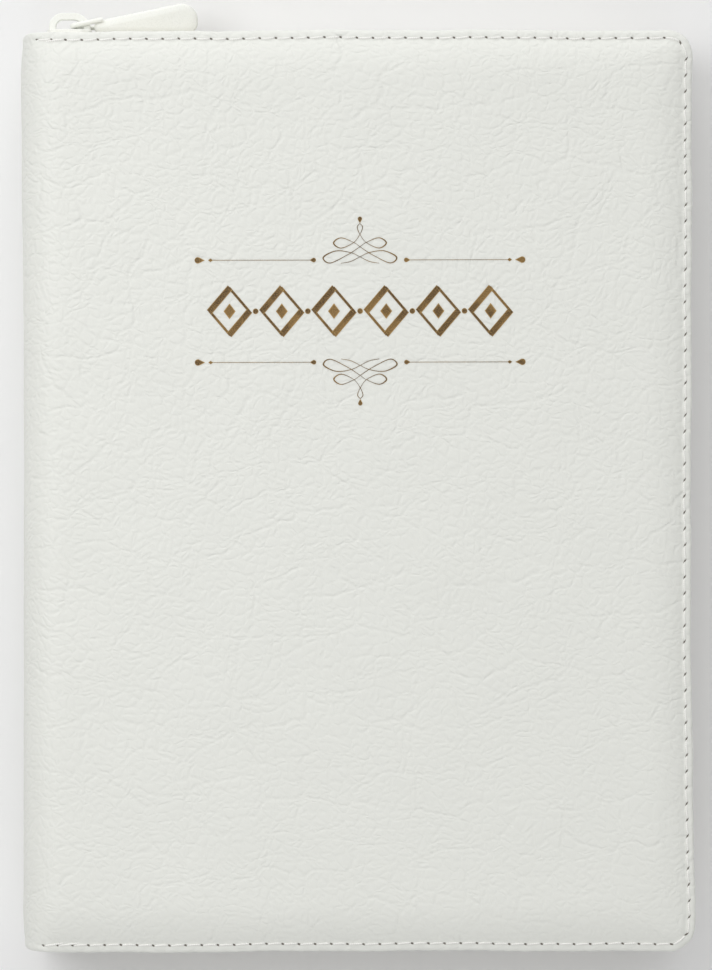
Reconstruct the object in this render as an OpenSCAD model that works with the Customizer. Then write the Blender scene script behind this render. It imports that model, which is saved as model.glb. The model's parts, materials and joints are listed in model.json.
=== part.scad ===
// Zipped leather-bound bible, closed, lying on its back cover.
// Millimetres. Origin: centre of the back cover's flat outer face.
// +X towards the fore edge, +Y towards the head, +Z out of the front cover.

/* [Cover] */
// Width of the closed book, spine face to fore edge
cover_w = 180; // [150:1:200]
// Height of the cover, tail to head
cover_h = 247; // [200:1:270]
// Thickness of the closed book over both padded covers
book_t = 38; // [34:0.5:48]
// Radius of the two fore-edge corners of each cover
corner_r = 7; // [6.6:0.2:10]
// Width of the flat stitched lip before the padding rises
lip_w = 3.2; // [3:0.1:5]
// Width of the padded slope between the lip and the flat top
crown_slope = 11; // [8:0.5:16]
// Radius of the leather's turn along both edges of the spine
spine_r = 5; // [4:0.5:7]

/* [Cover layers] */
// Thickness of the leather
leather_t = 1; // [0.8:0.05:1.3]
// Thickness of the foam under the leather
foam_t = 2; // [1.6:0.1:3]
// Thickness of the cover board
board_t = 1.6; // [1.2:0.1:2.4]
// Thickness of the inside lining
lining_t = 0.5; // [0.3:0.05:0.8]
// Thickness of the stiffening strip in the spine
strip_t = 0.8; // [0.5:0.05:1.2]
// Thickness of the cloth that lines the spine
spine_cloth_t = 0.2; // [0.15:0.05:0.4]

/* [Stitching] */
// Distance of the seam from the cover's edge
seam_inset = 1.8; // [1.7:0.05:2]
// Length of one stitch with its needle hole
stitch_pitch = 4.35; // [3.6:0.05:5]
// Diameter of the sewing thread
thread_d = 0.6; // [0.4:0.05:0.7]

/* [Pages] */
// Gap between the cover's edge and the page edges on three sides
page_inset = 5.5; // [5:0.1:8]
// Radius of the pages' fore-edge corners
page_corner_r = 5; // [3:0.5:9]
// Clear space between the spine's inside and the bound page edges
spine_clear = 3; // [2.6:0.1:5]
// Width of a ribbon marker
ribbon_w = 10; // [6:0.5:12]

/* [Zip fastener] */
// Thickness of the zip tape
tape_t = 0.6; // [0.4:0.05:0.7]
// Thickness of the teeth across the tape
tooth_t = 2.2; // [1.8:0.1:2.6]
// Distance between neighbouring teeth on one tape
tooth_pitch = 3; // [2.8:0.1:3.6]
// Width of one tooth along the tape
tooth_w = 1.2; // [0.9:0.05:1.2]
// Length of the slider
slider_l = 12; // [10:0.25:14]
// Width of the slider across the chain
slider_w = 9.4; // [9.2:0.1:10.5]
// Distance from the tape's end to the zip's stops
stop_from_end = 1.1; // [0.8:0.1:6]
// Height of the slider's bridge above its plate
bridge_h = 4.8; // [4.6:0.1:5.6]
// Thickness of the bridge's arch
bridge_bar = 1.9; // [1.4:0.1:2.1]

/* [Pull] */
// Length of the pull from the bridge to its far end
pull_l = 33.7; // [26:0.1:40]
// Width of the pull at its far end
pull_w = 7.6; // [6.6:0.1:8]
// Thickness of the pull
pull_t = 3; // [2.6:0.1:3.2]
// Lean of the pull's face out from the zip, in degrees from upright
pull_roll = 70; // [65:1:75]
// Angle between the resting pull and the zip, in degrees
pull_out = 3.5; // [3.5:0.5:12]
// Diameter of the wire eye that holds the pull on the bridge
eye_d = 1.4; // [1:0.1:1.5]

/* [Hidden] */
$fn = 64;
n_half = 6;
n_sections = 2 * n_half;
section_names = [for (i = [1 : n_sections]) str("section_", i)];

gap = 0.3;
fine_gap = 0.1;

// cover outline
x_spine = -cover_w / 2;
x_fore = cover_w / 2;
y_head = cover_h / 2;
mid = book_t / 2;
spine_t = leather_t + strip_t + spine_cloth_t;
joint_x = x_spine + spine_t;
panel_x = joint_x + gap;
corner_x = x_fore - corner_r;
corner_y = y_head - corner_r;

// heights in the front cover, counted from the outside inwards
lip_t = 2 * leather_t + tape_t + lining_t;
panel_t = leather_t + foam_t + board_t + lining_t;
crown_h = panel_t - lip_t;
lip_z = book_t - crown_h;
fold_z = lip_z - 2 * leather_t;
foam_z1 = book_t - leather_t;
foam_z0 = foam_z1 - foam_t;
board_z0 = foam_z0 - board_t;
lining_z0 = board_z0 - lining_t;
joint_z = lip_z;

// padding
joint_lip = 1.5;
foam_foot = lip_w + leather_t;
pad_top = lip_w + crown_slope;
pad_left = panel_x + joint_lip;
pad_top_left = pad_left + crown_slope;
fold_w = 6.2;

// spine
spine_drop = 2;
strip_drop = spine_drop + 4;
cloth_drop = spine_drop + 1;
spine_top = joint_z - gap;
spine_low = book_t - spine_top;
spine_h = cover_h - 2 * spine_drop;

// zip tape and chain, as insets from the cover's edge and heights above mid
drop_d = leather_t;
chain_d = 0.3;
tape_in = chain_d + tape_t / 2;
tape_out = chain_d - tape_t / 2;
tape_edge = 1;
tape_bow = 6;
tape_end_x = joint_x + 1.2;
flange_end = fold_w - 0.4;
tooth_base = 3.2;
tooth_head = 0.7;
slot_gap = 0.06;

// slider, in the same terms
stop_w = 1.6;
stop_x = tape_end_x + stop_from_end + stop_w / 2;
slider_x = stop_x + stop_w / 2 + gap + slider_l / 2;
plate_t = 1.1;
channel = tooth_t + 2 * gap;
channel_out = chain_d - channel / 2;
channel_in = chain_d + channel / 2;
plate_out = channel_out - plate_t;
flange_w = slider_w / 2 - tooth_base - gap;
flange_slot = tape_t + 2 * gap;
chain_x = slider_x + slider_l / 2 + gap + tooth_w;
tail_chain = chain_x - stop_x - stop_w / 2 - gap - tooth_w;
bridge_w = 2.2;
bridge_l = slider_l - 0.6;
bridge_r_spine = bridge_h - 1;
bridge_r_fore = bridge_h;

// pull
pull_shift = 0.7;
pull_x = slider_x + pull_shift;
pull_y = -plate_out + eye_d / 2 + 0.5;
eye_z = bridge_w / 2 + gap + eye_d / 2;
tip_r = 2.4;
tip_x = bridge_l / 2 - pull_shift + gap + tip_r;
far_r = 3.2;
eye_end = tip_x + 0.5;

// pages
page_x0 = joint_x + spine_clear;
page_x1 = x_fore - page_inset;
page_y = y_head - page_inset;
leaf_t = 0.2;
leaf_z0 = lining_z0 - fine_gap / 2 - leaf_t;
ribbon_t = 0.3;
ribbon_x = page_x0 + 8;
ribbon_lean = 22;
ribbon_apart = ribbon_w + 1;
ribbon_tail = 10;
ribbon_short_tail = 24;
half_z0 = mid + ribbon_t / 2 + fine_gap;
half_z1 = leaf_z0 - fine_gap;
section_step = (half_z1 - half_z0 + fine_gap) / n_half;
section_t = section_step - fine_gap;
band_t = 0.8;
band_h = 5;
mull_t = 0.4;
back_gap = 0.05;

// seam
groove_d = 0.4;
groove_w = thread_d + 0.9;
stitch_l = stitch_pitch - 1.1;

// straight and curved lengths of a line that follows the three zipped edges
function run_x(x0) = corner_x - x0;
function bend(d) = (corner_r - d) * PI / 2;
function path_len(x0, d) = 2 * run_x(x0) + 2 * bend(d) + 2 * corner_y;

module flip() {
  translate([0, 0, book_t])
    mirror([0, 0, 1])
      children();
}

// a panel outline with rounded fore-edge corners
module outline(inset, left, r) {
  x1 = x_fore - inset;
  y1 = y_head - inset;
  translate([left, -y1])
    square([x1 - r - left, 2 * y1]);
  translate([left, r - y1])
    square([x1 - left, 2 * (y1 - r)]);
  for (side = [-1, 1])
    translate([x1 - r, side * (y1 - r)])
      circle(r);
}

module panel(z0, z1, inset, left) {
  translate([0, 0, z0])
    linear_extrude(z1 - z0)
      outline(inset, left, max(corner_r - inset, 0.5));
}

// a padded rise between two outlines
module pad(z0, foot, foot_left, z1, top, top_left) {
  hull($fn = 32) {
    panel(z0, z0 + 0.01, foot, foot_left, $fn = 32);
    panel(z1 - 0.01, z1, top, top_left, $fn = 32);
  }
}

// sweeps a profile (x = inset, y = height) along head, fore edge and tail
module sweep_edges(x0) {
  for (side = [0, 1])
    mirror([0, side, 0])
      translate([x0, y_head, 0])
        rotate([90, 0, 90])
          linear_extrude(run_x(x0))
            mirror([1, 0])
              children();
  for (side = [0, 1])
    mirror([0, side, 0])
      translate([corner_x, corner_y, 0])
        rotate_extrude(angle = 90)
          translate([corner_r, 0])
            mirror([1, 0])
              children();
  translate([x_fore, corner_y, 0])
    rotate([90, 0, 0])
      linear_extrude(2 * corner_y)
        mirror([1, 0])
          children();
}

// places a child at length s along the line; its x runs along, its y points outwards
module on_line(s, x0, d) {
  a = run_x(x0);
  b = bend(d);
  c = 2 * corner_y;
  r = corner_r - d;
  if (s <= a)
    translate([x0 + s, y_head - d, 0])
      children();
  else if (s <= a + b)
    translate([corner_x, corner_y, 0])
      rotate([0, 0, -90 * (s - a) / b])
        translate([0, r, 0])
          children();
  else if (s <= a + b + c)
    translate([x_fore - d, corner_y - (s - a - b), 0])
      rotate([0, 0, -90])
        children();
  else if (s <= a + 2 * b + c)
    translate([corner_x, -corner_y, 0])
      rotate([0, 0, -90 - 90 * (s - a - b - c) / b])
        translate([0, r, 0])
          children();
  else
    translate([corner_x - (s - a - 2 * b - c), d - y_head, 0])
      rotate([0, 0, 180])
        children();
}

// Covers

module cover_foam() {
  pad(foam_z0, foam_foot, pad_left + leather_t, foam_z1, pad_top, pad_top_left);
}

module cover_leather() {
  difference() {
    union() {
      panel(fold_z, lip_z, 0, panel_x);
      pad(lip_z - leather_t / 2, lip_w, pad_left, book_t, pad_top, pad_top_left);
    }
    cover_foam();
    panel(fold_z - 1, foam_z0, fold_w, panel_x - 1);
    sweep_edges(panel_x + 1)
      translate([seam_inset - groove_w / 2, lip_z - groove_d])
        square([groove_w, 1]);
  }
}

module cover_board() {
  panel(board_z0, foam_z0, fold_w, panel_x);
}

module cover_lining() {
  panel(lining_z0, board_z0, drop_d + tape_t + fine_gap, panel_x);
}

module cover_stitching() {
  x0 = panel_x + 1.2;
  n = floor(path_len(x0, seam_inset) / stitch_pitch);
  for (i = [0 : n - 1])
    on_line((i + 0.5) * stitch_pitch, x0, seam_inset)
      translate([0, 0, lip_z - groove_d + thread_d / 2 + 0.02])
        rotate([0, 90, 0])
          cylinder(h = stitch_l, d = thread_d, center = true, $fn = 24);
}

module front_leather() {
  color("#efeee8") cover_leather();
}

module front_foam() {
  color("#d9d4c4") cover_foam();
}

module front_board() {
  color("#b49a74") cover_board();
}

module front_lining() {
  color("#e4dccb") cover_lining();
}

module front_stitching() {
  color("#f8f7f2") cover_stitching();
}

module back_leather() {
  color("#efeee8") flip() cover_leather();
}

module back_foam() {
  color("#d9d4c4") flip() cover_foam();
}

module back_board() {
  color("#b49a74") flip() cover_board();
}

module back_lining() {
  color("#e4dccb") flip() cover_lining();
}

module back_stitching() {
  color("#f8f7f2") flip() cover_stitching();
}

// Spine

module spine_layer(x0, t, z_in, drop) {
  translate([x0, drop - y_head, spine_low + z_in])
    cube([t, cover_h - 2 * drop, spine_top - spine_low - 2 * z_in]);
}

// the leather's turn at the upper edge of the spine, drawn in x and z
module spine_turn() {
  intersection() {
    difference() {
      translate([x_spine + spine_r, spine_top - spine_r])
        circle(spine_r);
      translate([x_spine + spine_r, spine_top - spine_r])
        circle(spine_r - leather_t);
    }
    translate([x_spine, spine_top - spine_r])
      square([spine_t, spine_r]);
  }
}

module spine_leather() {
  color("#efeee8")
    translate([0, spine_h / 2, 0])
      rotate([90, 0, 0])
        linear_extrude(spine_h) {
          translate([x_spine, spine_low + spine_r])
            square([leather_t, spine_top - spine_low - 2 * spine_r]);
          spine_turn();
          translate([0, book_t])
            mirror([0, 1])
              spine_turn();
        }
}

module spine_strip() {
  color("#b49a74") spine_layer(x_spine + leather_t, strip_t, spine_r + fine_gap, strip_drop);
}

module spine_cloth() {
  color("#e4dccb") spine_layer(x_spine + leather_t + strip_t, spine_cloth_t, spine_r + fine_gap, cloth_drop);
}

// Zip fastener

module tape_profile() {
  polygon([
    [drop_d, fold_z], [flange_end, fold_z], [flange_end, fold_z - tape_t],
    [drop_d + tape_t, fold_z - tape_t], [drop_d + tape_t, fold_z - 2 * tape_t - lining_t],
    [tape_in, mid + tape_bow], [tape_in, mid + tape_edge],
    [tape_out, mid + tape_edge], [tape_out, mid + tape_bow],
    [drop_d, fold_z - 2 * tape_t - lining_t]
  ]);
}

module zip_tape() {
  sweep_edges(tape_end_x)
    tape_profile();
}

// a moulded element that grips the tape's edge, from z0 above mid to its base
module tape_grip(z0, w) {
  o = tooth_t / 2;
  i = tape_t / 2 + slot_gap;
  top = mid + tooth_base;
  rotate([90, 0, 90])
    linear_extrude(w, center = true)
      polygon([
        [-o, mid + z0], [o, mid + z0], [o, top], [i, top], [i, mid + tape_edge - slot_gap],
        [-i, mid + tape_edge - slot_gap], [-i, top], [-o, top]
      ]);
}

module zip_teeth(shift) {
  n = floor((path_len(chain_x, chain_d) + tail_chain) / tooth_pitch - shift);
  for (i = [0 : n])
    on_line((i + shift) * tooth_pitch, chain_x, chain_d)
      tape_grip(-tooth_head, tooth_w);
}

module zip_stops() {
  for (side = [-1, 1])
    translate([stop_x, side * (y_head - chain_d), 0])
      tape_grip(fine_gap, stop_w);
}

module front_tape() {
  color("#e9e6dd") zip_tape();
}

module back_tape() {
  color("#e9e6dd") flip() zip_tape();
}

module front_teeth() {
  color("#f4f2ec") zip_teeth(0);
}

module back_teeth() {
  color("#f4f2ec") flip() zip_teeth(0.5);
}

module front_stops() {
  color("#f4f2ec") zip_stops();
}

module back_stops() {
  color("#f4f2ec") flip() zip_stops();
}

// one slider plate seen from outside: broad at the mouth, narrow at the heel
module plate_shape() {
  l = slider_l / 2;
  w = slider_w / 2;
  polygon([
    [-l, w - 1.2], [-l + 1, w], [l - 2.6, w], [l - 0.6, w - 0.8], [l, w - 1.6],
    [l, 1.6 - w], [l - 0.6, 0.8 - w], [l - 2.6, -w], [-l + 1, -w], [-l, 1.2 - w]
  ]);
}

// stands a shape drawn in x and z between two insets from the head edge
module upright(d0, d1) {
  translate([slider_x, y_head - d0, mid])
    rotate([90, 0, 0])
      linear_extrude(d1 - d0)
        children();
}

module slider_body() {
  rim = slider_w / 2 - flange_w;
  slot = flange_slot / 2;
  color("#f6f5f1") {
    upright(plate_out, channel_out)
      plate_shape();
    upright(channel_in, channel_in + plate_t)
      plate_shape();
    for (side = [-1, 1]) {
      upright(channel_out, chain_d - slot)
        intersection() {
          plate_shape();
          translate([0, side * (rim + flange_w / 2)])
            square([2 * slider_l, flange_w], center = true);
        }
      upright(chain_d + slot, channel_in)
        intersection() {
          plate_shape();
          translate([0, side * (rim + flange_w / 2)])
            square([2 * slider_l, flange_w], center = true);
        }
    }
    upright(channel_out, channel_in)
      polygon([
        [0.4 - slider_l / 2, 0], [1.4 - slider_l / 2, 1.1],
        [3.6 - slider_l / 2, 0], [1.4 - slider_l / 2, -1.1]
      ]);
  }
}

// an arch drawn in x and y on the line y = 0, with a round shoulder at each end
module arch_shape(l, h, r_spine, r_fore) {
  intersection() {
    union() {
      translate([r_spine - l / 2, 0])
        square([l - r_spine - r_fore, h]);
      translate([-l / 2, 0])
        square([r_spine, h - r_spine]);
      translate([l / 2 - r_fore, 0])
        square([r_fore, h - r_fore]);
      translate([r_spine - l / 2, h - r_spine])
        circle(r_spine);
      translate([l / 2 - r_fore, h - r_fore])
        circle(r_fore);
    }
    translate([-l / 2, 0])
      square([l, h]);
  }
}

module slider_bridge() {
  bar = bridge_bar;
  color("#f6f5f1")
    translate([slider_x, y_head - plate_out, mid - bridge_w / 2])
      linear_extrude(bridge_w)
        difference() {
          arch_shape(bridge_l, bridge_h, bridge_r_spine, bridge_r_fore);
          translate([0, -0.01])
            arch_shape(bridge_l - 2 * bar, bridge_h - bar + 0.01, bridge_r_spine - bar, bridge_r_fore - bar);
        }
}

// the pull drawn flat: x along its length from the bridge, y across it
module pull_outline() {
  hull($fn = 32) {
    translate([tip_x, 0])
      circle(tip_r);
    for (side = [-1, 1])
      translate([pull_l - far_r, side * (pull_w / 2 - far_r)])
        circle(far_r);
  }
}

// a straight round wire with round ends from one point to another
module wire(a, b) {
  v = b - a;
  l = norm(v);
  translate(a)
    rotate([0, acos(v[2] / l), atan2(v[1], v[0])])
      cylinder(h = l, d = eye_d);
  for (p = [a, b])
    translate(p)
      sphere(d = eye_d);
}

module pull_tab() {
  color("#fbfaf6")
    translate([pull_x, y_head + pull_y, mid])
      rotate([0, 0, pull_out]) {
        rotate([90 - pull_roll, 0, 0])
          translate([0, 0, -pull_t / 2])
            linear_extrude(pull_t)
              pull_outline();
        wire([0, 0, -eye_z], [0, 0, eye_z]);
        wire([0, 0, eye_z], [eye_end, 1.6, eye_z]);
        wire([0, 0, -eye_z], [eye_end, -0.7, -eye_z]);
      }
}

// Pages

module page_shape() {
  outline(page_inset, page_x0, page_corner_r);
}

module leaf() {
  translate([0, 0, leaf_z0])
    linear_extrude(leaf_t)
      page_shape();
}

// counted from the front cover
module section(i) {
  in_half = (i - 1) % n_half;
  top = i <= n_half ? half_z1 : book_t - half_z0;
  color("#efe9da")
    translate([0, 0, top - in_half * section_step - section_t])
      linear_extrude(section_t)
        page_shape();
}

module half_mull() {
  translate([page_x0 - back_gap - mull_t, band_h + 3 - page_y, half_z0])
    cube([mull_t, 2 * (page_y - band_h - 3), half_z1 - half_z0]);
}

module half_band(side) {
  x1 = page_x0 - back_gap;
  mirror([0, side < 0 ? 1 : 0, 0])
    translate([0, 0, half_z0])
      linear_extrude(half_z1 - half_z0) {
        translate([x1 - band_t, page_y - band_h])
          square([band_t, band_h + 0.6]);
        translate([x1 - band_t, page_y + 0.6])
          circle(band_t);
      }
}

module front_flyleaf() {
  color("#f3efe4") leaf();
}

module back_flyleaf() {
  color("#f3efe4") flip() leaf();
}

module front_mull() {
  color("#ddd6c6") half_mull();
}

module back_mull() {
  color("#ddd6c6") flip() half_mull();
}

module front_head_band() {
  color("#c9a227") half_band(1);
}

module front_tail_band() {
  color("#c9a227") half_band(-1);
}

module back_head_band() {
  color("#c9a227") flip() half_band(1);
}

module back_tail_band() {
  color("#c9a227") flip() half_band(-1);
}

// a flat marker lying between the two halves, notched at its free end
module ribbon(x_head, lean, y_tail) {
  w = ribbon_w / 2;
  x_tail = x_head + lean;
  translate([0, 0, mid - ribbon_t / 2])
    linear_extrude(ribbon_t)
      polygon([
        [x_head - w, page_y], [x_head + w, page_y], [x_tail + w, y_tail],
        [x_tail, y_tail + w], [x_tail - w, y_tail]
      ]);
}

module ribbon_long() {
  color("#8c1d2b") ribbon(ribbon_x, ribbon_lean, ribbon_tail - page_y);
}

module ribbon_short() {
  color("#b58a2c") ribbon(ribbon_x + ribbon_apart, 2 * ribbon_lean, ribbon_short_tail - page_y);
}

front_leather();
front_foam();
front_board();
front_lining();
front_stitching();
back_leather();
back_foam();
back_board();
back_lining();
back_stitching();
spine_leather();
spine_strip();
spine_cloth();
front_tape();
back_tape();
front_teeth();
back_teeth();
front_stops();
back_stops();
slider_body();
slider_bridge();
pull_tab();
front_flyleaf();
back_flyleaf();
front_mull();
back_mull();
front_head_band();
front_tail_band();
back_head_band();
back_tail_band();
ribbon_long();
ribbon_short();
for (i = [1 : n_sections])
  section(i);
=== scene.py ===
import json
from math import acos, atan2, cos, degrees, hypot, pi, radians, sin, sqrt, tau

import bpy
import numpy as np
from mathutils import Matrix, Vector
from mathutils.geometry import delaunay_2d_cdt

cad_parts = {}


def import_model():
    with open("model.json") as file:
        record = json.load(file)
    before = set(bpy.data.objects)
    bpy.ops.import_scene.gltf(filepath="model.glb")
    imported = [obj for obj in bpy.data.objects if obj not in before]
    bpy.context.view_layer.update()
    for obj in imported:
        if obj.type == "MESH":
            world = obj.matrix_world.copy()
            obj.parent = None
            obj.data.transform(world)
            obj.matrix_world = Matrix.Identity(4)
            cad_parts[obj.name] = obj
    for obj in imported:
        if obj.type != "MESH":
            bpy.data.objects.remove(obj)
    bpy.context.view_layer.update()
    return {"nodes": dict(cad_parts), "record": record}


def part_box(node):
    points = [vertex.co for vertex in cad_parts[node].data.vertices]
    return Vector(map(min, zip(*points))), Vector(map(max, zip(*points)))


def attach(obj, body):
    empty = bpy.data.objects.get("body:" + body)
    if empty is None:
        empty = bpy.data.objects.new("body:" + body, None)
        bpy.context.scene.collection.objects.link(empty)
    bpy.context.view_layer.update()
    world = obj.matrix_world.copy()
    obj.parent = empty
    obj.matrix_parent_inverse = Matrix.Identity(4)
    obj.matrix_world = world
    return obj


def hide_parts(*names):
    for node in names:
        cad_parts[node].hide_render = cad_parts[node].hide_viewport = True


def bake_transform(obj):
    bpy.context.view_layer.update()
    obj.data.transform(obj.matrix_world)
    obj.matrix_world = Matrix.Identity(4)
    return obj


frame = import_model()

# The looks of a zipped, leather-bound book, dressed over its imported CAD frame.
# Lengths are in millimetres up to make_piece(), which scales them to metres.
MM = 0.001


def box_mm(node):
    """Lowest and highest corner of a CAD node at rest."""
    lo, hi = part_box(node)
    return np.array(lo) / MM, np.array(hi) / MM


# Sizes read from the frame
FORE_X, HALF_H, BOOK_T = box_mm("front_leather")[1]
SPINE_SWELL = 0.6  # the leather swells a little past the strip
SPINE_X = box_mm("spine_leather")[0][0] - SPINE_SWELL
MID_Z = BOOK_T / 2
(PAGE_X0, _, _), (PAGE_X1, PAGE_Y, FRONT_TOP) = box_mm("section_1")
FRONT_LOW = box_mm("section_6")[0][2]
REAR_TOP = box_mm("section_7")[1][2]
REAR_LOW = box_mm("section_12")[0][2]

# The cover's shape; FADE is the width over which something starts or ends
CORNER_R, CORNER_OPEN = 7.0, 1.1  # fore-edge corners, and how fast they widen again on the padding
CROWN_H, CROWN_POWER = 2.4, 2.6  # rise of the padding above the lip, and its steepness there
SPINE_CROWN = 0.25  # share of that rise on the spine
LIP_W, CROWN_D = 2.45, 14.2  # insets at which the padding starts to rise and is level
LIP_T, SPINE_LIP_T = 2.0, 1.0  # folded edge of the leather, on the cover and on the spine
LIP_TILT, TILT_W = 0.3, 1.2  # fall of the lip's outer edge, and its width
HEAD_REACH, TAIL_REACH = 0.40, 0.25  # the lip is this much wider there than on the fore edge
REACH_D, REACH_FADE = 1.65, 0.65
FORE_WAIST, SPINE_WAIST = 0.8, 0.7  # the fore edge and the spine draw in at the middle
WANDER_D, WANDER_FADE = 7.0, 5.0  # inset at which the edge's unevenness ends
SEAM_D, SEAM_U = 1.8, -86.6  # the seam's inset, and where it starts beside the spine
SEAM_LEAD, SEAM_FADE = 2, 2.5  # its groove starts this much earlier
STITCH = 4.35  # stitch length
GROOVE_H, GROOVE_W = 0.08, 0.26  # depth and width of the groove along the thread
HOLE_DIP, DIP_W = 0.22, 0.8  # and of the dip at each needle hole
SHADE_W = 0.3  # width of the shade along it
PANEL_U, PANEL_FADE = -89.0, 10.0  # where the cover starts beside the spine
RIM_D = 16.0  # width of the finely meshed rim
EDGE_STEP, CORNER_STEPS = 0.72, 15  # its mesh step, and points round each corner
ROLL_STEP, PANEL_STEP = 0.9, 4.0  # mesh steps over the roll and on the padding
ROLL_X, ROLL_Z = SPINE_X + 11.8, BOOK_T - 11.0  # where the spine's roll becomes level and upright
ROLL_POWER = 2.1  # squareness of the roll
SPINE_DROP = 0.6  # the spine stands this much back at head and tail
DROP_U, DROP_FADE = -90.0, 6.0
HINGE_W, HINGE_H = 11, 8  # how much of the cover and of the spine bends
RIBBON_W = 10.0


# Small tools


def smooth(t):
    """0 to 1 with soft ends, as t goes from 0 to 1."""
    t = np.clip(t, 0, 1)
    return t * t * (3 - 2 * t)


def joined(*parts):
    return np.concatenate(parts)


def stack(*parts):
    """Points from their coordinates."""
    return np.stack(np.broadcast_arrays(*parts), -1)


def grid_faces(rows, cols, close_rows=False, close_cols=False, flip=False):
    """Quads of a grid of points kept row by row."""
    faces = []
    for r in range(rows if close_rows else rows - 1):
        for c in range(cols if close_cols else cols - 1):
            a, b = r * cols, (r + 1) % rows * cols
            d = (c + 1) % cols
            quad = (a + c, a + d, b + d, b + c)
            faces.append(quad[::-1] if flip else quad)
    return faces


def bar_faces(rows, cols):
    """Faces of a bar: rings of cols points, one to a row, and a cap at both ends."""
    caps = [tuple(range(cols))[::-1], tuple(range((rows - 1) * cols, rows * cols))]
    return grid_faces(rows, cols, close_cols=True) + caps


def length_along(u, v):
    """Length of a flat line up to each of its points."""
    return joined([0], np.cumsum(np.hypot(np.diff(u), np.diff(v))))


def turned_over(points):
    """The same place on the back cover."""
    return points * (1, 1, -1) + (0, 0, BOOK_T)


class Build:
    """Points and faces of one piece, gathered from its parts."""

    def __init__(self):
        self.points, self.rest, self.faces, self.slots = [], [], [], []
        self.count = 0

    def add(self, points, faces, rest=None, slot=0):
        points = np.asarray(points, float).reshape(-1, 3)
        self.points.append(points)
        self.rest.append(points if rest is None else np.asarray(rest, float).reshape(-1, 3))
        self.faces += [tuple(i + self.count for i in f) for f in faces]
        self.slots += slot if isinstance(slot, list) else [slot] * len(faces)
        self.count += len(points)

    def turn_over(self):
        """Moves everything to the same place on the back cover."""
        self.points = [turned_over(p) for p in self.points]
        self.faces = [f[::-1] for f in self.faces]

    def piece(self, name, *materials, sharp=None):
        points, rest = joined(*self.points), joined(*self.rest)
        return make_piece(name, points, self.faces, materials, rest, self.slots, sharp)


def make_piece(name, points, faces, materials, rest=None, slots=None, sharp=None, seam=None):
    """A mesh from points in mm. rest keeps its texture coordinates."""
    mesh = bpy.data.meshes.new(name)
    mesh.from_pydata((np.asarray(points) * MM).tolist(), [], faces)
    kept = mesh.attributes.new("rest", "FLOAT_VECTOR", "POINT")
    kept.data.foreach_set("vector", np.asarray(points if rest is None else rest, np.float32).ravel())
    # seam: painted shade along the seam's groove, one value a point.
    if seam is not None:
        mesh.attributes.new("seam", "FLOAT", "POINT").data.foreach_set("value", np.asarray(seam, np.float32))
    for material in materials:
        mesh.materials.append(material)
    if slots is not None:
        mesh.polygons.foreach_set("material_index", slots)
    mesh.polygons.foreach_set("use_smooth", [True] * len(faces))
    if sharp is not None:
        mesh.set_sharp_from_angle(angle=radians(sharp))
    mesh.update()
    obj = bpy.data.objects.new(name, mesh)
    bpy.context.scene.collection.objects.link(obj)
    return obj


def tube(path, across, radius, sides=8):
    """Points, faces and texture coordinates of a round bar along path; across lies square to it."""
    along = np.gradient(path, axis=0)
    along /= np.linalg.norm(along, axis=1, keepdims=True)
    side = np.broadcast_to(np.asarray(across, float), path.shape)
    up = np.cross(side, along)
    up /= np.linalg.norm(up, axis=1, keepdims=True)
    side = np.cross(along, up)
    turn = np.arange(sides) * tau / sides
    circle = side[:, None] * np.cos(turn)[None, :, None] + up[:, None] * np.sin(turn)[None, :, None]
    length = joined([0], np.cumsum(np.linalg.norm(np.diff(path, axis=0), axis=1)))
    rest = stack(length[:, None], turn[None], 0.0)
    return path[:, None] + circle * radius, bar_faces(len(path), sides), rest


# Materials


class Nodes:
    """Short calls that add nodes to a tree."""

    def __init__(self, tree):
        self.tree = tree

    def node(self, kind, inputs, **settings):
        made = self.tree.nodes.new("ShaderNode" + kind)
        for key, value in settings.items():
            setattr(made, key, value)
        for key, value in inputs.items():
            if isinstance(value, bpy.types.NodeSocket):
                self.tree.links.new(value, made.inputs[key])
            else:
                made.inputs[key].default_value = value
        return made

    def math(self, operation, a, b=0.0):
        return self.node("Math", {0: a, 1: b}, operation=operation).outputs[0]

    def plus(self, a, b):
        return self.math("ADD", a, b)

    def minus(self, a, b):
        return self.math("SUBTRACT", a, b)

    def times(self, a, b):
        return self.math("MULTIPLY", a, b)


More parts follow.
